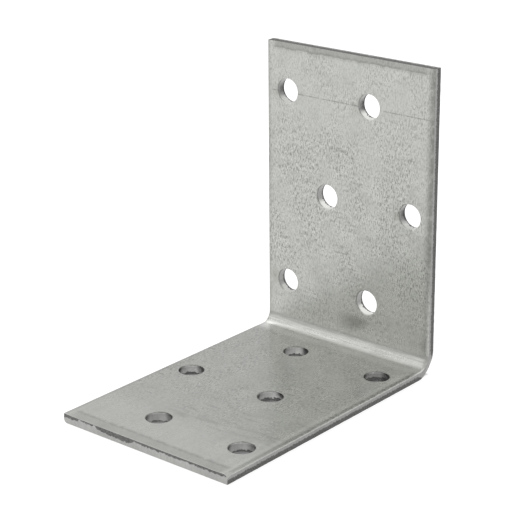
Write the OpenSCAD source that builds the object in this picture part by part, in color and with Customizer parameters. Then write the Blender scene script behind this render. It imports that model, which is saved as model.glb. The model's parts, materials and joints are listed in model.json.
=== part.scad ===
// Perforated angle bracket: one strip of galvanised steel sheet, punched with a
// staggered grid of nail holes, cropped to length and folded once to a right angle.
// Millimetres. X runs across the width, the upright leg stands along +Z at the +Y
// end of the foot, and the origin is the centre of the footprint on the base plane.

/* [Sheet] */
// Width of the strip, across the fold
strip_w = 40; // [30:1:120]
// Outside height of the upright leg
upright_h = 61.5; // [40:0.5:160]
// Outside length of the foot leg
foot_l = 61.5; // [40:0.5:160]
// Thickness of the sheet
sheet_t = 2; // [1.5:0.1:3]

/* [Fold] */
// Inside radius of the fold
bend_r = 2.2; // [1:0.1:4]
// Extra radius on the outside of the fold, where the sheet is stretched thin
bend_stretch = 0.6; // [0.1:0.1:1]
// Depth of the unstretched layer in the fold, as a share of the thickness
neutral_share = 0.4; // [0.3:0.01:0.5]

/* [Holes] */
// Diameter of a nail hole at its smooth land
hole_d = 5; // [3:0.1:6]
// Distance between rows of holes, measured along the flat strip
row_pitch = 20; // [16:0.5:30]
// Distance between columns of holes; a row uses every other column
col_pitch = 10; // [8:0.5:14]
// Width of the drawn-in rim where the punch entered
punch_roll_w = 0.45; // [0.2:0.05:0.8]
// Depth of the drawn-in rim where the punch entered
punch_roll_d = 0.1; // [0.05:0.05:0.4]
// How far the torn zone of a hole widens towards the outside face
punch_break_w = 0.12; // [0.05:0.01:0.3]
// Depth of the torn zone of a hole
punch_break_d = 0.6; // [0.3:0.05:0.9]

/* [Slit long edges] */
// Width of the drawn-in shoulder that the slitting knife leaves
slit_roll_w = 0.95; // [0.5:0.05:1.5]
// Depth of the drawn-in shoulder that the slitting knife leaves
slit_roll_d = 0.25; // [0.1:0.05:0.9]
// Width of the slight fall of the face along the other corner of a slit edge
slit_fall_w = 1; // [0.5:0.05:1.5]
// Depth of the slight fall of the face along the other corner of a slit edge
slit_fall_d = 0.06; // [0.02:0.02:0.4]

/* [Cropped ends] */
// Width of the band that the cropping tool presses down at the top of the upright
upright_press_w = 1.3; // [0.8:0.1:3]
// Width of the band that the cropping tool presses down at the tip of the foot
foot_press_w = 2.3; // [0.8:0.1:4]
// Depth of the pressed bands at the cut
press_d = 0.1; // [0.05:0.01:0.3]
// Width of the shoulder on the outside face at both cut ends
crop_roll_w = 0.3; // [0.2:0.05:0.6]
// Depth of the shoulder on the outside face at both cut ends
crop_roll_d = 0.1; // [0.04:0.02:0.4]

/* [Hidden] */
$fn = 96;
zinc = [0.70, 0.71, 0.69];
past = 1; // how far a cutter reaches beyond the metal

// The fold's two arcs have their own centres, each at its reach from both outside faces.
inner_reach = sheet_t + bend_r;
outer_reach = inner_reach + bend_stretch;
neutral_r = bend_r + neutral_share * sheet_t;
// What the outside sizes add up to more than the flat strip does.
fold_gain = 2 * inner_reach - PI / 2 * neutral_r;
// The fold lies halfway between two rows of the strip, half a pitch from each.
first_row = row_pitch / 2 + fold_gain / 2;

// Rows and columns fill what the drawn-in edges leave flat.
hole_rim_r = hole_d / 2 + punch_roll_w;
columns = floor((strip_w - 2 * (slit_roll_w + hole_rim_r)) / col_pitch) + 1;
function column_x(i) = (i - (columns - 1) / 2) * col_pitch;
function row_at(j) = first_row + j * row_pitch;
function last_row(leg, press_w) = floor((leg - press_w - hole_rim_r - first_row) / row_pitch);

// A rectangle from the origin whose corner at the origin is rounded.
module round_corner_rectangle(size, r) {
    translate([r, r]) circle(r);
    translate([r, 0]) square([size.x - r, size.y]);
    translate([0, r]) square([size.x, size.y - r]);
}

// What a shoulder takes off a corner of the sheet: x runs in from the cut edge and
// y down from the face. The arc is tangent to the face and runs on past the edge.
module shoulder(w, d) {
    arc_r = (w * w + d * d) / (2 * d);
    difference() {
        translate([-past, -past]) square([w + past, arc_r + past]);
        translate([w, arc_r]) circle(arc_r);
    }
}

// The folded strip from its side: x runs in from the upright's outside face, y up.
module side_profile() {
    difference() {
        round_corner_rectangle([foot_l, upright_h], outer_reach);
        translate([sheet_t, sheet_t]) round_corner_rectangle([foot_l, upright_h], bend_r);
        translate([sheet_t, upright_h]) mirror([1, 1]) shoulder(upright_press_w, press_d);
        translate([0, upright_h]) rotate(-90) shoulder(crop_roll_w, crop_roll_d);
        translate([foot_l, sheet_t]) rotate(180) shoulder(foot_press_w, press_d);
        translate([foot_l, 0]) mirror([1, 0]) shoulder(crop_roll_w, crop_roll_d);
    }
}

// Sweeps a section down the upright, round the fold and out along the foot. The
// section's x is the distance from the arc's centre, at reach from both outside faces.
module along_strip(reach) {
    translate([reach, reach, -strip_w / 2]) {
        rotate([90, 0, 180]) linear_extrude(upright_h) children();
        rotate(180) rotate_extrude(angle = 90) children();
        translate([foot_l, 0, 0]) rotate([90, 0, -90]) linear_extrude(foot_l) children();
    }
}

module inside_edge_shoulder(w, d) {
    along_strip(inner_reach) translate([bend_r, 0]) mirror([1, -1]) shoulder(w, d);
}

module outside_edge_shoulder(w, d) {
    along_strip(outer_reach) translate([outer_reach, 0]) rotate(90) shoulder(w, d);
}

// The strip was slit by a pair of knives from opposite faces, so the deep shoulder
// is on the inside face along one long edge and on the outside face along the other.
module slit_edges() {
    inside_edge_shoulder(slit_roll_w, slit_roll_d);
    outside_edge_shoulder(slit_fall_w, slit_fall_d);
    mirror([0, 0, 1]) {
        inside_edge_shoulder(slit_fall_w, slit_fall_d);
        outside_edge_shoulder(slit_roll_w, slit_roll_d);
    }
}

// The tool that leaves one hole, with the inside face at its z = 0: a drawn-in rim,
// a smooth land and a torn zone that widens to the outside face.
module punched_hole() {
    land_r = hole_d / 2;
    torn_slope = punch_break_w / punch_break_d;
    rotate_extrude() {
        translate([0, -sheet_t - past]) square([land_r, sheet_t + 2 * past]);
        translate([land_r, 0]) mirror([0, 1]) shoulder(punch_roll_w, punch_roll_d);
        translate([0, punch_break_d - sheet_t])
            polygon([
                [0, 0],
                [land_r, 0],
                [land_r + torn_slope * (punch_break_d + past), -punch_break_d - past],
                [0, -punch_break_d - past]
            ]);
    }
}

module upright_holes() {
    for (j = [0 : last_row(upright_h, upright_press_w)])
        for (i = [j % 2 : 2 : columns - 1])
            translate([column_x(i), foot_l / 2 - sheet_t, row_at(j)]) rotate([90, 0, 0]) punched_hole();
}

module foot_holes() {
    for (j = [0 : last_row(foot_l, foot_press_w)])
        for (i = [(j + 1) % 2 : 2 : columns - 1])
            translate([column_x(i), foot_l / 2 - row_at(j), sheet_t]) punched_hole();
}

module bracket() {
    color(zinc) difference() {
        translate([0, foot_l / 2, 0]) rotate([90, 0, -90]) difference() {
            linear_extrude(strip_w, center = true) side_profile();
            slit_edges();
        }
        upright_holes();
        foot_holes();
    }
}

bracket();
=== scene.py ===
import json
import math

import bmesh
import bpy
from mathutils import Matrix, Vector, noise


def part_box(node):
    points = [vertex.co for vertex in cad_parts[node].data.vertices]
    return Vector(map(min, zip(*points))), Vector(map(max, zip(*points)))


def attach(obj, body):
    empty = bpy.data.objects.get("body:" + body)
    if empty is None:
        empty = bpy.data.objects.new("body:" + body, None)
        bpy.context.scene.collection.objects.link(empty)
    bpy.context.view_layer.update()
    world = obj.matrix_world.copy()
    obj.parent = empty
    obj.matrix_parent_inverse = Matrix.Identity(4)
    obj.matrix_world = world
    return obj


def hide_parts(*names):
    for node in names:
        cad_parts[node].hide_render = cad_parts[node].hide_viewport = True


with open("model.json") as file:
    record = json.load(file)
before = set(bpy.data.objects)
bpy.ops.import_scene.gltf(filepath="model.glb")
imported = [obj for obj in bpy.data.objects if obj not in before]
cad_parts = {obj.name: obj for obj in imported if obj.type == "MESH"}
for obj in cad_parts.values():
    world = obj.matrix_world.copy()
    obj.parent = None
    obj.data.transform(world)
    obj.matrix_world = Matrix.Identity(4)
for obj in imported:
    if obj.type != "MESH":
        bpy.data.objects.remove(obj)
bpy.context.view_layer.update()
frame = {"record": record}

mm = 0.001

# The camera stands where the photograph was taken from, found from the bracket's edges and holes.
camera = {
    "azimuth": 40.17,       # degrees round from the front, towards the right
    "elevation": 19.95,     # degrees above the floor
    "roll": -0.47,          # degrees
    "distance": 337.26,     # mm to the point it aims at
    "aimRight": 1.134,      # mm from the origin, along the picture
    "aimUp": 26.19,
    "lens": 122.45,         # mm, on a 36 mm sensor
}


def makeCamera(view):
    azimuth, elevation = math.radians(view["azimuth"]), math.radians(view["elevation"])
    back = Vector((math.sin(azimuth) * math.cos(elevation),
                   -math.cos(azimuth) * math.cos(elevation),
                   math.sin(elevation)))
    level = Vector((math.cos(azimuth), math.sin(azimuth), 0))
    turned = Matrix.Rotation(math.radians(view["roll"]), 3, back)
    right, up = turned @ level, turned @ back.cross(level)
    data = bpy.data.cameras.new("camera")
    data.lens, data.sensor_width = view["lens"], 36
    data.clip_start, data.clip_end = 0.01, 50
    ob = bpy.data.objects.new("camera", data)
    bpy.context.scene.collection.objects.link(ob)
    place = (right * view["aimRight"] + up * view["aimUp"] + back * view["distance"]) * mm
    ob.matrix_world = Matrix.Translation(place) @ Matrix((right, up, back)).transposed().to_4x4()
    bpy.context.scene.camera = ob


makeCamera(camera)
print("camera placed")


# The bracket is modelled as the flat strip it was cut from, and folded at the end. On the strip x runs
# across and s along it: s is the height on the upright, minus the distance from its back on the foot,
# and 0 in the middle of the fold. Depth counts from the inside face. All lengths are in millimetres.
strip = {
    "insideRadius": 2.2, "outsideRadius": 4.8,      # the fold, where the sheet is stretched thin
    "stretchEnds": 8.0,                             # where the slant of the stretched sheet dies out
    "rimWidth": 0.3, "rimDepth": 0.035,             # drawn in where the punch entered
    "dishWidth": 1.4, "dishDepth": 0.015,           # the faint dish round each hole
    "flareWidth": 0.06, "flareDepth": 0.5,          # torn out where the punch left
    "shoulderWidth": 0.95, "shoulderDepth": 0.25,   # the slitting knife's side of a long edge
    "cornerDepth": 0.42, "cornerReach": 1.3,        # how much deeper the shoulder goes at the tip's corners
    "fallWidth": 1.0, "fallDepth": 0.05,            # the other side of a long edge
    "cropWidth": 0.3, "cropDepth": 0.1,             # outside face at both cut ends
    "topBand": 1.25, "tipBand": 2.3,                # pressed down by the cropping tool
    "bandStep": 0.015, "bandStepWidth": 0.2,        # the step where a pressed band begins
    "bandDepth": 0.1, "bandRagged": 0.1,            # its depth at the cut, and how far its start wanders
    "bandFade": (0.3, 2.6),                         # from a long edge, where a band dies out
    "lipRadius": 0.05,                              # rounding where a face meets its cut wall
    "hold": 0.005, "bulge": 0.005,                  # the long edges lie in by this, out again in the fold
    "drawIn": 0.2, "foldReach": 3.2,                # the stretched outside of the fold draws in
}

# How finely the strip is divided: sizes of its squares, and lines at distances from its edges.
cells = {
    "face": 0.5, "plain": 1.0, "fold": 24,          # the fold's is a count
    "slitLines": [0, 0.02, 0.05, 0.1, 0.18, 0.28, 0.4, 0.55, 0.75, 0.95],
    "topLines": [0, 0.03, 0.07, 0.14, 0.24, 0.36, 0.6, 0.85, 1.0, 1.1, 1.2, 1.3, 1.4, 1.5, 1.6, 1.8,
                 2.2, 2.8],
    "tipLines": [0, 0.03, 0.07, 0.14, 0.24, 0.36, 0.6, 0.9, 1.3, 1.7, 1.9, 2.0, 2.1, 2.2, 2.3, 2.4,
                 2.5, 2.6, 2.8, 3.2],
    "wallShares": [0.03, 0.08, 0.16, 0.26, 0.36, 0.44, 0.52, 0.58, 0.64, 0.7, 0.76, 0.82, 0.88, 0.94],
    "rimRadii": [3.0, 2.9, 2.8, 2.72, 2.65, 2.6, 2.56, 2.53, 2.51, 2.5],
    "patch": 3.5,                                   # half the side of the square round a hole
}

# What the knife and the punch left on the walls. Torn metal starts at a depth from the inside face.
walls = {
    "slitTornFrom": {"upright": 0.85, "foot": 1.02}, "topTornTo": 1.35, "leftTornTo": 0.65,
    # at the tip the tear lies under the inside face: how deep it reaches, from the left edge to the right
    "tipTornTo": [(-20, 0.8), (-17, 0.72), (-15.9, 0.4), (-15.2, 0.55), (-14.2, 0.5), (-12.6, 0.6),
                  (-12.0, 0.3), (-11.5, 0.8), (-8, 1.15), (-3.2, 1.2), (-2.2, 0.62), (4, 0.66), (12, 0.6),
                  (20, 0.6)],
    # each hole, by column and place along the strip: where its tear starts, how much painted highlight its
    # land gets, and how dark it is made, with painted shade at its lower left on the upright and darker at
    # two opposite sides on the foot
    "holes": {(-15, 52): (1.62, 0.7, 0.8), (5, 52): (1.5, 1.4, 0.9), (-5, 32): (1.5, 1.5, 0.1),
              (15, 32): (1.5, 0.7, 0.7), (-15, 12): (1.5, 0.7, 0.1), (5, 12): (1.48, 1.6, 0.1),
              (-5, -12): (1.55, 0.5, 0.95), (15, -12): (1.1, 0.0, 1.0), (-15, -32): (1.5, 0.4, 0.95),
              (5, -32): (1.35, 0.5, 0.95), (-5, -52): (1.74, 0.2, 0.7), (15, -52): (1.68, 0.22, 0.65)},
    "holeDarkeningAt": (-2.6, -0.2), "holeDarkeningReach": 1.9,   # painted shade in and beside a hole of the upright
    "rimShade": 0.75, "rimShadeWidth": 0.28,                # a ring of painted shade on a rim's far side
    "pressedSmooth": (2.4, 4.6),                    # from the fold's middle, where the tear opens again
    # how strong the painted highlight on the land is at the top and at the tip
    "tipPaintedLight": 0.2, "topPaintedLight": 0.2,
    "tornRecess": 0.05, "tornRough": 0.04, "holeRough": 0.015, "edgeBlend": 1.2,
}


def readStrip(record):
    lo, hi = (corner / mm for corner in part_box("bracket"))
    strip["halfWidth"] = (hi.x - lo.x) / 2
    strip["top"], strip["tip"], strip["back"] = hi.z, -(hi.y - lo.y), hi.y
    mounts = {mount["name"]: mount for mount in record["mounts"]}
    strip["sheet"] = mounts["foot_inside_face"]["pos_m"][2] / mm
    strip["foldReachFlat"] = strip["sheet"] + strip["insideRadius"]
    holes = []
    for mount in record["mounts"]:
        if mount["kind"] != "bolt_pattern":
            continue
        x, y, z = (value / mm for value in mount["pos_m"])
        s = z if mount["axis"][2] == 0 else y - strip["back"]
        halfX, halfS = mount["dims"]["spacing_x_mm"] / 2, mount["dims"].get("spacing_y_mm", 0) / 2
        for side in sorted({-halfS, halfS}):
            holes += [(x - halfX, s + side), (x + halfX, s + side)]
        strip["holeRadius"] = mount["dims"]["hole_r_mm"]
    strip["holes"] = sorted(holes)


def spread(start, end, step):
    count = max(1, round((end - start) / step))
    return [start + (end - start) * i / count for i in range(count)]


def linesAcross():
    half, edge = strip["halfWidth"], cells["slitLines"]
    inner = max(abs(x) for x, s in strip["holes"]) + cells["patch"]
    middle = spread(-inner, inner, cells["face"]) + [inner]
    return [-half + e for e in edge] + middle + [half - e for e in reversed(edge)]


def linesAlong():
    reach, patch = strip["foldReachFlat"], cells["patch"]
    lines = spread(-reach, reach, 2 * reach / cells["fold"])
    ends = ((1, strip["top"], cells["topLines"]), (-1, -strip["tip"], cells["tipLines"]))
    for sign, end, endLines in ends:
        at, leg = reach, []
        for row in sorted({abs(s) for x, s in strip["holes"] if s * sign > 0}):
            leg += spread(at, row - patch, cells["plain"]) + spread(row - patch, row + patch, cells["face"])
            at = row + patch
        leg += spread(at, end - endLines[-1], cells["face"]) + [end - e for e in reversed(endLines)]
        lines += [sign * s for s in leg]
    return sorted(set(round(s, 5) for s in lines))


def flatSheet():
    xs, ss = linesAcross(), linesAlong()
    bm = bmesh.new()
    bmesh.ops.create_grid(bm, x_segments=len(xs) - 1, y_segments=len(ss) - 1, size=1)
    for v in bm.verts:                              # spread the even grid out to the strip's own lines
        i, j = round((v.co.x + 1) / 2 * (len(xs) - 1)), round((v.co.y + 1) / 2 * (len(ss) - 1))
        v.co = xs[i], ss[j], 0
    for x, s in strip["holes"]:
        punchHole(bm, x, s)
    return bm


def squareToRound(offset):
    # where a point of a square goes when the square is made round, as a direction: the points of the
    # square's side come out evenly spaced, so it is used once and the rings inside keep their directions
    x, y = offset.x, offset.y
    if abs(x) >= abs(y):
        angle = math.pi / 4 * y / x
        return Vector((math.cos(angle), math.sin(angle), 0)) * math.copysign(1, x)
    angle = math.pi / 4 * x / y
    return Vector((math.sin(angle), math.cos(angle), 0)) * math.copysign(1, y)


def punchHole(bm, x, s):
    centre = Vector((x, s, 0))
    inside = {f for f in bm.faces
              if max(abs(c) for c in f.calc_center_median() - centre) < cells["patch"]}
    loop = [e for e in {e for f in inside for e in f.edges} if not inside.issuperset(e.link_faces)]
    bmesh.ops.delete(bm, geom=list(inside), context="FACES")
    toward = squareToRound
    for radius in cells["rimRadii"]:
        made = bmesh.ops.extrude_edge_only(bm, edges=loop)["geom"]
        verts = {g for g in made if isinstance(g, bmesh.types.BMVert)}
        loop = [g for g in made if isinstance(g, bmesh.types.BMEdge) and verts.issuperset(g.verts)]
        for v in verts:
            v.co = centre + radius * toward(v.co - centre)
        toward = Vector.normalized


def thicken(bm):
    bmesh.ops.recalc_face_normals(bm, faces=bm.faces)
    if sum(f.normal.z for f in bm.faces) < 0:
        bmesh.ops.reverse_faces(bm, faces=bm.faces)
    bmesh.ops.solidify(bm, geom=bm.faces[:], thickness=strip["sheet"])
    for share in cells["wallShares"]:
        bmesh.ops.bisect_plane(bm, geom=bm.verts[:] + bm.edges[:] + bm.faces[:], dist=1e-5,
                               plane_co=(0, 0, -strip["sheet"] * share), plane_no=(0, 0, 1))
    bm.normal_update()
    for f in bm.faces:
        f.material_index = 0 if abs(f.normal.z) > 0.5 else 1
        f.smooth = True


readStrip(frame["record"])
sheet = flatSheet()
thicken(sheet)
print("flat strip punched:", len(sheet.faces), "faces, volume", round(sheet.calc_volume(), 1), "mm3")


def arcDrop(distance, width, depth):
    if distance >= width:
        return 0
    radius = (width ** 2 + depth ** 2) / (2 * depth)
    return radius - math.sqrt(radius ** 2 - (width - distance) ** 2)


def smooth(value, start, end):
    share = min(max((value - start) / (end - start), 0), 1)
    return share * share * (3 - 2 * share)


def lip(distance):                                  # a small quarter round where a face meets its wall
    return arcDrop(max(distance, 0), strip["lipRadius"], strip["lipRadius"])


def insideBand(x, s):
    # how far a point lies inside the nearer pressed band, and that band's width there
    distance, width, seed = strip["top"] - s, strip["topBand"], 3
    if s < 0:
        distance, width, seed = s - strip["tip"], strip["tipBand"], 8
    width += strip["bandRagged"] * (noise.noise(Vector((x * 0.9, seed, 0)))
                                    + 0.5 * noise.noise(Vector((x * 3.1, seed, 5))))
    return width - distance, width


def pressBand(x, s):
    inside, width = insideBand(x, s)
    if inside <= 0:
        return 0
    fade = smooth(strip["halfWidth"] - abs(x), *strip["bandFade"])
    step = strip["bandStep"] * smooth(inside, 0, strip["bandStepWidth"])
    return fade * (step + (strip["bandDepth"] - strip["bandStep"]) * inside / width)


def nearestHole(x, s):
    return min((math.hypot(x - hx, s - hs), hx, hs) for hx, hs in strip["holes"])


def shoulder(toEdge, s):
    corner = 1 - smooth(s - strip["tip"], 0, strip["cornerReach"])
    return arcDrop(toEdge, strip["shoulderWidth"], strip["shoulderDepth"] + corner * strip["cornerDepth"])


def insideDrop(x, s, toHole):
    right, left = strip["halfWidth"] - x, strip["halfWidth"] + x
    top, tip = strip["top"] - s, s - strip["tip"]
    rim = max(toHole - strip["holeRadius"], 0)
    slit = max(shoulder(right, s), arcDrop(left, strip["fallWidth"], strip["fallDepth"]))
    hole = arcDrop(rim, strip["rimWidth"], strip["rimDepth"])
    dish = strip["dishDepth"] * (1 - smooth(rim, 0, strip["dishWidth"]))
    face = max(slit, pressBand(x, s), hole + dish)
    return face + max(lip(right), lip(left), lip(top), lip(tip), lip(rim))


def outsideRise(x, s):
    right, left = strip["halfWidth"] - x, strip["halfWidth"] + x
    top, tip = strip["top"] - s, s - strip["tip"]
    return max(shoulder(left, s), arcDrop(right, strip["fallWidth"], strip["fallDepth"]),
               arcDrop(top, strip["cropWidth"], strip["cropDepth"]),
               arcDrop(tip, strip["cropWidth"], strip["cropDepth"]))


def between(stations, x):
    for (x0, y0), (x1, y1) in zip(stations, stations[1:]):
        if x <= x1:
            return y0 + (y1 - y0) * (x - x0) / (x1 - x0)
    return stations[-1][1]


def marksOf(hole):
    return walls["holes"][round(hole[0]), round(hole[1])]


def wallAt(x, s, depth, toHole, hole):
    # how far a point of a wall lies inside the torn zone, in mm, and less than 0 on the smooth land,
    # with the strength of the painted highlight on the land
    gaps = {"right": strip["halfWidth"] - x, "left": strip["halfWidth"] + x,
            "top": strip["top"] - s, "tip": s - strip["tip"], "hole": toHole - strip["holeRadius"]}
    side = min(gaps, key=gaps.get)
    leg = "upright" if s > 0 else "foot"
    coarse, fine = noise.noise(Vector((x * 0.4, s * 0.4, 11))), noise.noise(Vector((x * 1.7, s * 1.7, 4)))
    wander = 0.08 * coarse + 0.05 * fine
    if side == "hole":
        start, paintedLight = marksOf(hole)[:2]
        off = (Vector((x, s)) - Vector(hole)) / strip["holeRadius"]
        if s > 0:
            paintedLight *= 0.05 + smooth(-off.y, 0.2, 0.85)   # painted highlight below, where the wall faces up
        else:
            # a painted highlight, strongest across the middle of the wall
            paintedLight *= 1.2 - 0.9 * off.x ** 2
        return depth - start + 2.5 * wander, paintedLight
    if side == "tip":
        return between(walls["tipTornTo"], x) - depth + wander, walls["tipPaintedLight"]
    if side == "top":
        return walls["topTornTo"] - depth + 2 * wander, walls["topPaintedLight"]
    if side == "left":
        return walls["leftTornTo"] - depth + wander, 0
    fold = 1 - smooth(abs(s), *walls["pressedSmooth"])
    return depth - walls["slitTornFrom"][leg] - fold + wander, 0


def holeDarkeningAt(x, s, depth, toHole, hole):
    # how dark a hole is made: painted shade in and beside it on the upright, darker at two opposite sides
    # on the foot, and a thin ring of painted shade on the rim's far side
    off, fromRim = Vector((x, s)) - Vector(hole), toHole - strip["holeRadius"]
    darkening = marksOf(hole)[2]
    if s > 0:
        spot = 1 - smooth((off - Vector(walls["holeDarkeningAt"])).length, 0.2, walls["holeDarkeningReach"])
        darkening, far = darkening * spot * smooth(depth, -0.3, 1.4), -off.x
    else:
        aslant = (off.x + off.y) / (strip["holeRadius"] * math.sqrt(2))
        sides = max(0.2, smooth(aslant, 0.25, 0.85), smooth(-aslant, 0.55, 1))
        darkening *= sides * (1 - smooth(fromRim, 0, 0.15))
        far = off.y
    rimShade = (1 - smooth(fromRim, 0.08, walls["rimShadeWidth"])) * (1 - smooth(depth, 0.1, 0.35))
    return max(darkening, walls["rimShade"] * rimShade * smooth(far, 0.4, 2.2))


def cutEdgeShift(x, s, depth, toHole, hole, torn):
    # the right wall is set back where the metal tore, and the fold draws in on the outside
    share = smooth(torn, 0, 0.3)
    rough = noise.noise(Vector((x * 1.3, s * 1.3, depth * 4)))
    back = share * (walls["tornRecess"] + walls["tornRough"] * rough)
    shift = Vector((0, 0))
    reach = walls["edgeBlend"]
    fold = 1 - smooth(abs(s), 0.6, strip["foldReach"] + 1)
    outer = smooth(depth, 0.6, strip["sheet"])
    bend = strip["hold"] + fold * (-strip["bulge"] * (1 - outer) + strip["drawIn"] * outer)
    for sign in (-1, 1):
        near = 1 - smooth(strip["halfWidth"] - sign * x, 0, reach)
        wide = 1 - smooth(strip["halfWidth"] - sign * x, 0, reach * 2.5)
        shift.x -= sign * (max(sign, 0) * back * near + bend * wide)
    for sign, end in ((1, strip["top"]), (-1, -strip["tip"])):
        shift.y -= sign * 0.5 * back * (1 - smooth(end - sign * s, 0, reach))
    if toHole < strip["holeRadius"] + strip["rimWidth"]:
        away = Vector((x, s)) - Vector(hole)
        flare = strip["flareWidth"] * smooth(depth, strip["sheet"] - strip["flareDepth"], strip["sheet"])
        fall = 1 - smooth(toHole - strip["holeRadius"], 0, strip["rimWidth"])
        shift += away.normalized() * (flare + share * walls["holeRough"] * rough) * fall
    return shift


def shapeStrip(bm):
    place = bm.verts.layers.float_vector.new("strip")
    tornLayer = bm.verts.layers.float.new("torn")
    # the painted highlight on the walls' land, for the material
    paintedLightLayer = bm.verts.layers.float.new("paintedLight")
    # the next layer carries how dark each hole is made: painted shade on the upright and on the rims,
    # darker sides on the foot
    holeDarkeningLayer = bm.verts.layers.float.new("smudge")
    edgeLayer = bm.verts.layers.float.new("edge")
    bandLayer = bm.verts.layers.float.new("band")
    for v in bm.verts:
        x, s, share = v.co.x, v.co.y, -v.co.z / strip["sheet"]
        toHole, hx, hs = nearestHole(x, s)
        drop, rise = insideDrop(x, s, toHole), outsideRise(x, s)
        depth = drop + share * (strip["sheet"] - drop - rise)
        torn, paintedLight = wallAt(x, s, depth, toHole, (hx, hs))
        shift = cutEdgeShift(x, s, depth, toHole, (hx, hs), torn)
        v.co = x + shift.x, s + shift.y, -depth
        v[place] = x, s, depth
        v[tornLayer] = torn
        v[paintedLightLayer] = paintedLight
        v[holeDarkeningLayer] = holeDarkeningAt(x, s, depth, toHole, (hx, hs))
        v[edgeLayer] = strip["halfWidth"] - abs(x)
        v[bandLayer] = max(insideBand(x, s)[0], -5)


def foldStrip(bm):
    flat, back = strip["foldReachFlat"], strip["back"]
    inner, outer = strip["insideRadius"], strip["outsideRadius"]
    stretch = outer - flat
    for v in bm.verts:
        x, s, depth = v.co.x, v.co.y, -v.co.z
        if abs(s) < flat:
            angle = (s + flat) / (2 * flat) * math.pi / 2
            inside = Vector((flat - inner * math.sin(angle), flat - inner * math.cos(angle)))
            outside = Vector((outer - outer * math.sin(angle), outer - outer * math.cos(angle)))
        else:
            slant = stretch * (1 - smooth(abs(s), flat, strip["stretchEnds"]))
            inside, outside = Vector((strip["sheet"], abs(s))), Vector((0, abs(s) + slant))
            if s < 0:
                inside, outside = inside.yx, outside.yx
        inFrom, up = inside.lerp(outside, depth / strip["sheet"])
        v.co = Vector((x, back - inFrom, up)) * mm


def finishPiece(bm, name):
    bm.normal_update()
    for e in bm.edges:
        e.smooth = len(e.link_faces) == 2 and e.calc_face_angle() < math.radians(38)
    mesh = bpy.data.meshes.new(name)
    bm.to_mesh(mesh)
    bm.free()
    ob = bpy.data.objects.new(name, mesh)
    bpy.context.scene.collection.objects.link(ob)
    return ob


shapeStrip(sheet)
foldStrip(sheet)
triangles = sum(len(f.verts) - 2 for f in sheet.faces)
openEdges = sum(1 for e in sheet.edges if len(e.link_faces) != 2)
print("strip folded:", triangles, "triangles,", openEdges, "open edges, volume",
      round(sheet.calc_volume(signed=True) / mm ** 3, 1), "mm3")
bracket = finishPiece(sheet, "folded_bracket")


def plug(tree, socket, value):
    if isinstance(value, bpy.types.NodeSocket):
        tree.links.new(value, socket)
    else:
        socket.default_value = value


def addNode(tree, kind, inputs=None, **settings):
    node = tree.nodes.new(kind)
    for name, value in settings.items():
        setattr(node, name, value)
    for name, value in (inputs or {}).items():
        plug(tree, node.inputs[name], value)
    return node


def newGroup(name, inputs, outputs):
    tree = bpy.data.node_groups.new(name, "ShaderNodeTree")
    for label, kind, value in inputs:
        socket = tree.interface.new_socket(label, in_out="INPUT", socket_type=kind)
        if value is not None:
            socket.default_value = value
    for label, kind in outputs:
        tree.interface.new_socket(label, in_out="OUTPUT", socket_type=kind)
    return tree, tree.nodes.new("NodeGroupInput").outputs, tree.nodes.new("NodeGroupOutput").inputs


def useGroup(tree, group, inputs):
    node = tree.nodes.new("ShaderNodeGroup")
    node.node_tree = group
    for name, value in inputs.items():
        plug(tree, node.inputs[name], value)
    return node.outputs


def calc(tree, operation, *values):
    node = tree.nodes.new("ShaderNodeMath")
    node.operation = operation
    for socket, value in zip(node.inputs, values):
        plug(tree, socket, value)
    return node.outputs[0]


def times(tree, *values):
    product = values[0]
    for value in values[1:]:
        product = calc(tree, "MULTIPLY", product, value)
    return product


def total(tree, *values):
    added = values[0]
    for value in values[1:]:
        added = calc(tree, "ADD", added, value)
    return added


def ramp(tree, value, fromLow, fromHigh, toLow=0.0, toHigh=1.0):
    inputs = {"Value": value, "From Min": fromLow, "From Max": fromHigh, "To Min": toLow, "To Max": toHigh}
    node = addNode(tree, "ShaderNodeMapRange", inputs, interpolation_type="SMOOTHSTEP")
    return node.outputs["Result"]


def tint(tree, share, colour, other):
    node = addNode(tree, "ShaderNodeMix", data_type="RGBA")
    for index, value in ((0, share), (6, colour), (7, other)):
        plug(tree, node.inputs[index], value)
    return node.outputs[2]


def mixValue(tree, share, value, other):
    node = addNode(tree, "ShaderNodeMix", {0: share, 2: value, 3: other}, data_type="FLOAT")
    return node.outputs[0]


def vectorCalc(tree, operation, vector, other):
    node = addNode(tree, "ShaderNodeVectorMath", {0: vector, 1: other}, operation=operation)
    return node.outputs[0]


def makeSpeckle():
    # patchy noise, stretched along the strip: a mask from 0 to 1
    group, given, out = newGroup("speckle", [
        ("Vector", "NodeSocketVector", None), ("Stretch", "NodeSocketVector", (1, 1, 1)),
        ("Scale", "NodeSocketFloat", 1), ("Detail", "NodeSocketFloat", 2),
        ("From", "NodeSocketFloat", 0.4), ("To", "NodeSocketFloat", 0.6)], [("Mask", "NodeSocketFloat")])
    scaled = vectorCalc(group, "MULTIPLY", given["Vector"], given["Stretch"])
    grain = addNode(group, "ShaderNodeTexNoise", {"Vector": scaled, "Scale": given["Scale"],
                                                  "Detail": given["Detail"]})
    group.links.new(ramp(group, grain.outputs[0], given["From"], given["To"]), out["Mask"])
    return group


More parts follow.
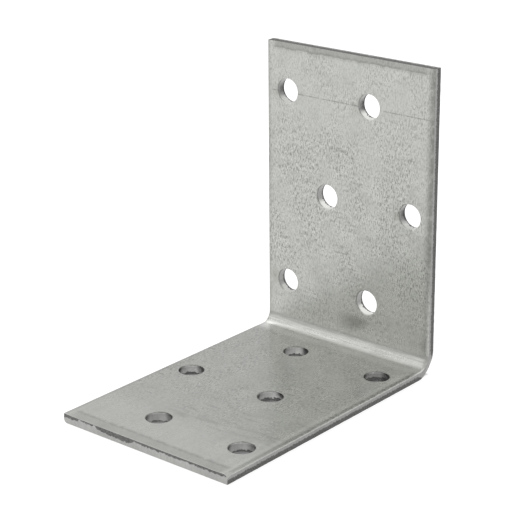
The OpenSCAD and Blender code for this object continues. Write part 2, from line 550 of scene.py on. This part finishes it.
def makeGrimeAndShade():
    # painted shade along the cut edges and by the holes, and dull dirt in smudges: darkens a colour
    group, given, out = newGroup("grimeAndPaintedShade", [
        ("Colour", "NodeSocketColor", None), ("Vector", "NodeSocketVector", None),
        ("Along Edges", "NodeSocketFloat", 0), ("Smudges", "NodeSocketFloat", 0.06),
        ("Dirt And Shade", "NodeSocketColor", (0.20, 0.20, 0.19, 1))],
        [("Colour", "NodeSocketColor"), ("Mask", "NodeSocketFloat")])
    place = given["Vector"]
    patches = addNode(group, "ShaderNodeTexNoise", {"Vector": place, "Scale": 0.17, "Detail": 3})
    broken = addNode(group, "ShaderNodeTexNoise", {"Vector": place, "Scale": 0.9, "Detail": 2})
    edges = times(group, given["Along Edges"], ramp(group, broken.outputs[0], 0.3, 0.6, 0.6, 1))
    smudges = times(group, ramp(group, patches.outputs[0], 0.5, 0.72), given["Smudges"])
    mask = total(group, edges, smudges)
    group.links.new(tint(group, mask, given["Colour"], given["Dirt And Shade"]), out["Colour"])
    group.links.new(mask, out["Mask"])
    return group


speckle, grimeAndShade = makeSpeckle(), makeGrimeAndShade()

zinc = {
    "colour": (0.475, 0.481, 0.455, 1), "roughness": 0.25, "cloudRoughness": 0.07, "wornRoughness": 0.3,
    # the light grain colour also paints the highlights, and the dull colour also the painted shade
    "grainDark": (0.2, 0.2, 0.19, 1), "lightGrainAndHighlight": (0.78, 0.785, 0.76, 1), "dullAndShade": (0.24, 0.24, 0.23, 1),
    "dashScale": 3.9, "pitScale": 6.0, "darkGrain": 0.86, "lightGrain": 0.4, "grainBump": 0.1,
    # a pair is a range in mm, from where an effect has its first strength to where it has its second
    "grainUp": (0, 22), "grainTop": (50, 40), "grainTip": (-58, -30),
    "smear": 0.34, "smearAlong": ((-53, -46), (-37, -43)), "smearAcross": (-11, -2),
    # each dark patch: where on the strip, how far it reaches, how strong; the first, below the hole at (5,
    # 12), is a painted dark reflection
    "darkPatchColour": (0.21, 0.2, 0.17, 1),
    "darkPatches": [((1.6, 7.4), (5.6, 1.7), 0.26), ((-18.3, 12.4), (1.5, 2.5), 0.3),
               ((-17.5, 51.5), (3.2, 2.6), 0.16), ((12.3, 31.3), (2.2, 1.6), 0.25),
               ((2.2, 51.2), (2.4, 2.2), 0.2)],
    "foldStreak": 0.3, "streakReach": (4.2, 2.6),
    # painted shade on the fold's upper side
    "foldTopShade": 0.72, "foldTopShadeAlong": ((-0.3, 2.4), (5.0, 2.4)),
    # painted highlight beside the fold, towards the tip and on the right edge's shoulder
    "foldHighlight": 4.8, "foldHighlightAlong": ((-7.4, -4), (-0.1, -2.8)),
    "highlightShare": 0.2, "tipHighlight": 0.55, "tipHighlightAlong": (-46, -53),
    # the darker line where a pressed band begins is painted shade
    "pressedTop": 0.6, "pressedTip": 0.36, "pressShadeLine": 0.38, "pressWander": 0.3,
    "scribeHeight": 51.6, "scribeWidth": 0.1, "scribe": 0.7,
    # painted shade along the long edges, and the holes' darkening
    "leftReach": 1.1, "leftShade": 0.42, "rightReach": 1.9, "rightShade": 0.85,
    "smudge": 0.12, "rimDarkening": 0.7,
}

shearedSteel = {
    "land": (0.26, 0.26, 0.253, 1), "landLight": (0.40, 0.40, 0.39, 1), "landRoughness": 0.32,
    # the lightest colour is a painted highlight, on the land and along its lip
    "highlightColour": (0.88, 0.88, 0.85, 1), "lip": 0.95, "lipHighlightAbove": 0.15, "darkening": (0.05, 0.05, 0.05, 1),
    "torn": (0.1, 0.1, 0.098, 1), "tornPitAndHighlight": (0.24, 0.24, 0.235, 1), "tornRoughness": 0.6,
    "teeth": 0.28, "holeTeeth": 0.6,
}


def newMaterial(name):
    material = bpy.data.materials.new(name)
    material.use_nodes = True
    tree = material.node_tree
    shader = tree.nodes["Principled BSDF"]
    return material, tree, shader


def readAttribute(tree, name, output="Fac"):
    return addNode(tree, "ShaderNodeAttribute", attribute_name=name).outputs[output]


def specklesOn(tree, place):
    def mask(stretch, scale, detail, low, high):
        return useGroup(tree, speckle, {"Vector": place, "Stretch": stretch, "Scale": scale,
                                        "Detail": detail, "From": low, "To": high})["Mask"]
    return mask


def makeZinc(look):
    material, tree, shader = newMaterial("galvanised_zinc")
    place, band = readAttribute(tree, "strip", "Vector"), readAttribute(tree, "band")
    across, along, depth = addNode(tree, "ShaderNodeSeparateXYZ", {0: place}).outputs
    edge = readAttribute(tree, "edge")
    inside = calc(tree, "LESS_THAN", depth, 1)
    mask = specklesOn(tree, place)
    dashes = mask((1, 0.26, 1), look["dashScale"], 1, 0.5, 0.68)
    pits = mask((1, 0.34, 1), look["pitScale"], 0, 0.54, 0.72)
    glints = mask((1, 0.3, 1), look["pitScale"] * 0.8, 1, 0.52, 0.7)
    patches = mask((1, 0.7, 1), 0.13, 3, 0.36, 0.6)
    streaks = mask((1, 0.04, 1), 1.1, 2, 0.3, 0.7)
    cloud = mask((1, 1, 1), 0.22, 4, 0.3, 0.7)
    # the grain is strongest halfway up the upright and faint on the foot
    onFoot, onLeft = calc(tree, "LESS_THAN", along, 0), calc(tree, "LESS_THAN", across, 0)
    onRight = calc(tree, "GREATER_THAN", across, 0)
    upright = times(tree, ramp(tree, along, *look["grainUp"], 0.6, 1),
                    ramp(tree, along, *look["grainTop"], 0.68, 1))
    foot = ramp(tree, along, *look["grainTip"], 0.26, 0.8)
    strength = times(tree, ramp(tree, patches, 0, 1, 0.55, 1), mixValue(tree, onFoot, upright, foot))
    dark = calc(tree, "MAXIMUM", dashes, pits)
    darkShare = times(tree, dark, strength, look["darkGrain"])
    lightShare = times(tree, glints, strength, look["lightGrain"])
    colour = tint(tree, darkShare, look["colour"], look["grainDark"])
    colour = tint(tree, lightShare, colour, look["lightGrainAndHighlight"])
    # handling left streaks across the foot, some way in from its tip
    near, far = look["smearAlong"]
    smear = times(tree, mask((0.3, 1.5, 1), 0.55, 4, 0.46, 0.66), ramp(tree, along, *near),
                  ramp(tree, along, *far), ramp(tree, across, *look["smearAcross"]), look["smear"])
    shade = total(tree, times(tree, streaks, 0.09), times(tree, cloud, 0.1), times(tree, smear, inside))
    colour = tint(tree, shade, colour, look["dullAndShade"])
    # dark patches, the first of them a painted reflection below the hole at (5, 12)
    for (x, s), reach, share in look["darkPatches"]:
        off = vectorCalc(tree, "DIVIDE", vectorCalc(tree, "SUBTRACT", place, (x, s, 0)), (*reach, 2))
        away = addNode(tree, "ShaderNodeVectorMath", {0: off}, operation="LENGTH").outputs["Value"]
        colour = tint(tree, times(tree, ramp(tree, away, 1, 0.2), share), colour, look["darkPatchColour"])
    # the folding tool rubbed streaks along the fold; its upper side is painted darker, a painted shade that
    # trims the fold's highlight
    rubbed = times(tree, ramp(tree, calc(tree, "ABSOLUTE", along), *look["streakReach"]),
                   mask((0.12, 1.5, 1), 1.1, 2, 0.42, 0.6), look["foldStreak"])
    low, high = look["foldTopShadeAlong"]
    paintedFoldShade = times(tree, ramp(tree, along, *low), ramp(tree, along, *high), look["foldTopShade"])
    colour = tint(tree, total(tree, rubbed, times(tree, paintedFoldShade, inside)), colour, look["dullAndShade"])
    # a painted highlight on the foot beside the fold and towards its tip, and on the shoulder of its right
    # edge
    low, high = look["foldHighlightAlong"]
    foldAndTipHighlight = times(tree, ramp(tree, along, *low), ramp(tree, along, *high), look["foldHighlight"])
    foldAndTipHighlight = total(tree, foldAndTipHighlight, ramp(tree, along, *look["tipHighlightAlong"], 0, look["tipHighlight"]))
    shoulderHighlight = times(tree, onRight, ramp(tree, edge, 2.2, 1.1), ramp(tree, edge, 0.3, 0.8),
                           ramp(tree, along, 0, -4))
    paintedHighlight = times(tree, calc(tree, "MAXIMUM", foldAndTipHighlight, shoulderHighlight), look["highlightShare"])
    colour = tint(tree, paintedHighlight, colour, look["lightGrainAndHighlight"])
    # the cropping tool left the bands duller; the darker line where each begins is painted shade over its
    # step
    wander = calc(tree, "SUBTRACT", mask((1, 0.3, 1), 0.9, 3, 0.2, 0.8), 0.5)
    within = total(tree, band, times(tree, wander, look["pressWander"]))
    sides = times(tree, ramp(tree, edge, 0.5, 2.4), inside)
    pressed = times(tree, ramp(tree, within, -0.12, 0.12), sides,
                    ramp(tree, along, -1, 1, look["pressedTip"], look["pressedTop"]))
    paintedPressShade = times(tree, ramp(tree, calc(tree, "ABSOLUTE", within), 0.6, 0.1), look["pressShadeLine"], sides,
                 mask((1, 0, 1), 0.5, 2, 0.3, 0.55))
    colour = tint(tree, total(tree, pressed, paintedPressShade), colour, look["dullAndShade"])
    # one thin scribed line across the upright, through the top row of holes
    off = calc(tree, "ABSOLUTE", calc(tree, "SUBTRACT", along, look["scribeHeight"]))
    scribe = times(tree, ramp(tree, off, look["scribeWidth"] * 1.6, look["scribeWidth"] * 0.4),
                   mask((1, 0, 0), 0.8, 3, 0.38, 0.55), look["scribe"], inside)
    colour = tint(tree, scribe, colour, look["grainDark"])
    # painted shade along the long edges, the left one all along and the right one mostly on the upright
    left = times(tree, onLeft, ramp(tree, edge, look["leftReach"], 0), look["leftShade"],
                 ramp(tree, along, -6, 34, 0.8, 1))
    right = times(tree, onRight, ramp(tree, edge, look["rightReach"], 0), look["rightShade"],
                  ramp(tree, along, 0, 30, 0.05, 1))
    # the holes' darkening: painted shade beside the upright's holes and on the rims, darker sides on the
    # foot's
    holes = times(tree, readAttribute(tree, "smudge"), look["rimDarkening"], inside)
    shadeAndDarkening = total(tree, left, right, holes)
    grimedAndShaded = useGroup(tree, grimeAndShade, {"Colour": colour, "Vector": place, "Along Edges": shadeAndDarkening,
                                  "Smudges": look["smudge"]})
    tree.links.new(grimedAndShaded["Colour"], shader.inputs["Base Color"])
    shader.inputs["Metallic"].default_value = 1
    dullness = times(tree, total(tree, grimedAndShaded["Mask"], pressed), look["wornRoughness"])
    rough = total(tree, times(tree, cloud, look["cloudRoughness"]), look["roughness"], dullness)
    tree.links.new(rough, shader.inputs["Roughness"])
    bumps = times(tree, calc(tree, "SUBTRACT", glints, dark), look["grainBump"])
    height = total(tree, bumps, times(tree, streaks, 0.3), rubbed)
    bump = addNode(tree, "ShaderNodeBump", {"Height": height, "Strength": 0.4, "Distance": 0.00003})
    tree.links.new(bump.outputs["Normal"], shader.inputs["Normal"])
    return material


def makeShearedSteel(look):
    material, tree, shader = newMaterial("sheared_steel")
    place, torn = readAttribute(tree, "strip", "Vector"), readAttribute(tree, "torn")
    paintedLight = readAttribute(tree, "paintedLight")
    along, depth = addNode(tree, "ShaderNodeSeparateXYZ", {0: place}).outputs[1:]
    mask = specklesOn(tree, place)
    teeth = mask((1, 1, 0.5), 1.9, 2, 0.3, 0.7)
    drag = mask((1, 1, 0.12), 3.0, 2, 0.3, 0.7)
    pits = mask((1, 1, 1.6), 3.2, 4, 0.35, 0.65)
    glints = mask((1, 1, 1), 2.6, 2, 0.52, 0.68)
    bite = ramp(tree, paintedLight, 0.1, 0.9, look["teeth"], look["holeTeeth"])
    ragged = total(tree, torn, times(tree, calc(tree, "SUBTRACT", teeth, 0.5), bite))
    fracture = ramp(tree, ragged, -0.05, 0.09)
    land = tint(tree, times(tree, drag, 0.35), look["land"], look["landLight"])
    # a painted highlight on the land, as strong as the painted light the walls carry
    land = tint(tree, times(tree, paintedLight, ramp(tree, glints, 0, 1, 0.75, 1)), land, look["highlightColour"])
    # a broken painted highlight where the land meets the face
    lip = times(tree, ramp(tree, depth, 0.55, 0.22), ramp(tree, glints, 0, 1, 0.45, 1),
                ramp(tree, along, -6, 2, look["lip"], look["lipHighlightAbove"]))
    land = tint(tree, lip, land, look["highlightColour"])
    # the torn metal is lighter at its pits, and lighter again as painted highlight where the land gets its
    # painted light
    tornPitAndHighlightShare = total(tree, times(tree, pits, 0.6), times(tree, paintedLight, 0.3))
    rough = tint(tree, tornPitAndHighlightShare, look["torn"], look["tornPitAndHighlight"])
    colour = tint(tree, fracture, land, rough)
    # the holes' darkening: painted shade on the upright's far walls and on the rims, darker sides on the
    # foot's
    grimedAndShaded = useGroup(tree, grimeAndShade, {"Colour": colour, "Vector": place, "Smudges": 0.1, "Dirt And Shade": look["darkening"],
                                  "Along Edges": readAttribute(tree, "smudge")})
    tree.links.new(grimedAndShaded["Colour"], shader.inputs["Base Color"])
    shader.inputs["Metallic"].default_value = 1
    tree.links.new(ramp(tree, fracture, 0, 1, look["landRoughness"], look["tornRoughness"]),
                   shader.inputs["Roughness"])
    height = total(tree, times(tree, drag, 0.2), times(tree, pits, fracture))
    bump = addNode(tree, "ShaderNodeBump", {"Height": height, "Strength": 0.5, "Distance": 0.00008})
    tree.links.new(bump.outputs["Normal"], shader.inputs["Normal"])
    return material


bracket.data.materials.append(makeZinc(zinc))
bracket.data.materials.append(makeShearedSteel(shearedSteel))
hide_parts("bracket")
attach(bracket, "root")
print("materials made")


studio = {
    "floorRadius": 8.0, "floorDrop": 0.00004, "floorColour": (0.42, 0.42, 0.42, 1), "floorFill": 0.72,
    "footprint": (0.02, 0.0307), "footShade": (-0.0015, -0.0002),
    "horizon": (0.74, 0.74, 0.74, 1), "walls": (0.65, 0.65, 0.65, 1), "frontWall": (1.0, 1.0, 1.0, 1),
    "ceiling": (0.76, 0.76, 0.76, 1), "worldStrength": 1.25,
    "boxes": [                                      # where from, how far, long and short side, power
        ((-0.61, -0.06, 0.8), 0.8, (1.0, 0.8), 1.2), ((-0.6, -0.72, 0.34), 1.0, (1.3, 0.6), 1.5)],
}


def makeFloor(look):
    bm = bmesh.new()
    bmesh.ops.create_circle(bm, cap_ends=True, segments=96, radius=look["floorRadius"])
    ob = finishPiece(bm, "floor")
    ob.location.z = -look["floorDrop"]
    material, tree, shader = newMaterial("studio_floor")
    shader.inputs["Base Color"].default_value = look["floorColour"]
    shader.inputs["Roughness"].default_value = 0.9
    shader.inputs["Specular IOR Level"].default_value = 0
    shader.inputs["Emission Color"].default_value = (1, 1, 1, 1)
    ray = addNode(tree, "ShaderNodeLightPath").outputs
    # the camera doesn't see the fill under the foot, so the floor stays in shade where a hole shows it
    place = addNode(tree, "ShaderNodeTexCoord").outputs["Object"]
    sides = [calc(tree, "SUBTRACT", calc(tree, "ABSOLUTE", value), half) for value, half in
             zip(addNode(tree, "ShaderNodeSeparateXYZ", {0: place}).outputs[:2], look["footprint"])]
    lit = ramp(tree, calc(tree, "MAXIMUM", *sides), *look["footShade"])
    mirrored = calc(tree, "MAXIMUM", ray["Is Glossy Ray"], ray["Is Transmission Ray"])
    seen = calc(tree, "MAXIMUM", times(tree, ray["Is Camera Ray"], lit), mirrored)
    tree.links.new(times(tree, seen, look["floorFill"]), shader.inputs["Emission Strength"])
    clear = addNode(tree, "ShaderNodeBsdfTransparent")
    below = addNode(tree, "ShaderNodeNewGeometry").outputs["Backfacing"]
    mix = addNode(tree, "ShaderNodeMixShader", {0: below, 1: shader.outputs[0], 2: clear.outputs[0]})
    tree.links.new(mix.outputs[0], tree.nodes["Material Output"].inputs["Surface"])
    ob.data.materials.append(material)


def makeLights(look):
    world = bpy.data.worlds.new("studio")
    bpy.context.scene.world = world
    world.use_nodes = True
    tree = world.node_tree
    direction = addNode(tree, "ShaderNodeTexCoord").outputs["Generated"]
    along, height = addNode(tree, "ShaderNodeSeparateXYZ", {0: direction}).outputs[1:]
    around = tint(tree, ramp(tree, along, 0.2, -0.6), look["walls"], look["frontWall"])
    colour = tint(tree, ramp(tree, height, 0.0, 0.25), look["horizon"], around)
    colour = tint(tree, ramp(tree, height, 0.3, 0.65), colour, look["ceiling"])
    background = tree.nodes["Background"]
    tree.links.new(colour, background.inputs["Color"])
    background.inputs["Strength"].default_value = look["worldStrength"]
    for whence, distance, (length, width), power in look["boxes"]:
        data = bpy.data.lights.new("softbox", "AREA")
        data.shape, data.size, data.size_y, data.energy = "RECTANGLE", length, width, power
        lamp = bpy.data.objects.new("softbox", data)
        bpy.context.scene.collection.objects.link(lamp)
        away = Vector(whence).normalized()
        lamp.location = away * distance
        side = Vector((0, 1, 0)).cross(away).normalized()  # its long side runs from front to back
        lamp.rotation_mode = "QUATERNION"
        lamp.rotation_quaternion = Matrix((away.cross(side), -side, away)).transposed().to_quaternion()
        lamp.visible_camera = False


makeFloor(studio)
makeLights(studio)
bpy.context.scene.view_settings.view_transform = "Standard"
print("studio lit")

bpy.context.view_layer.update()
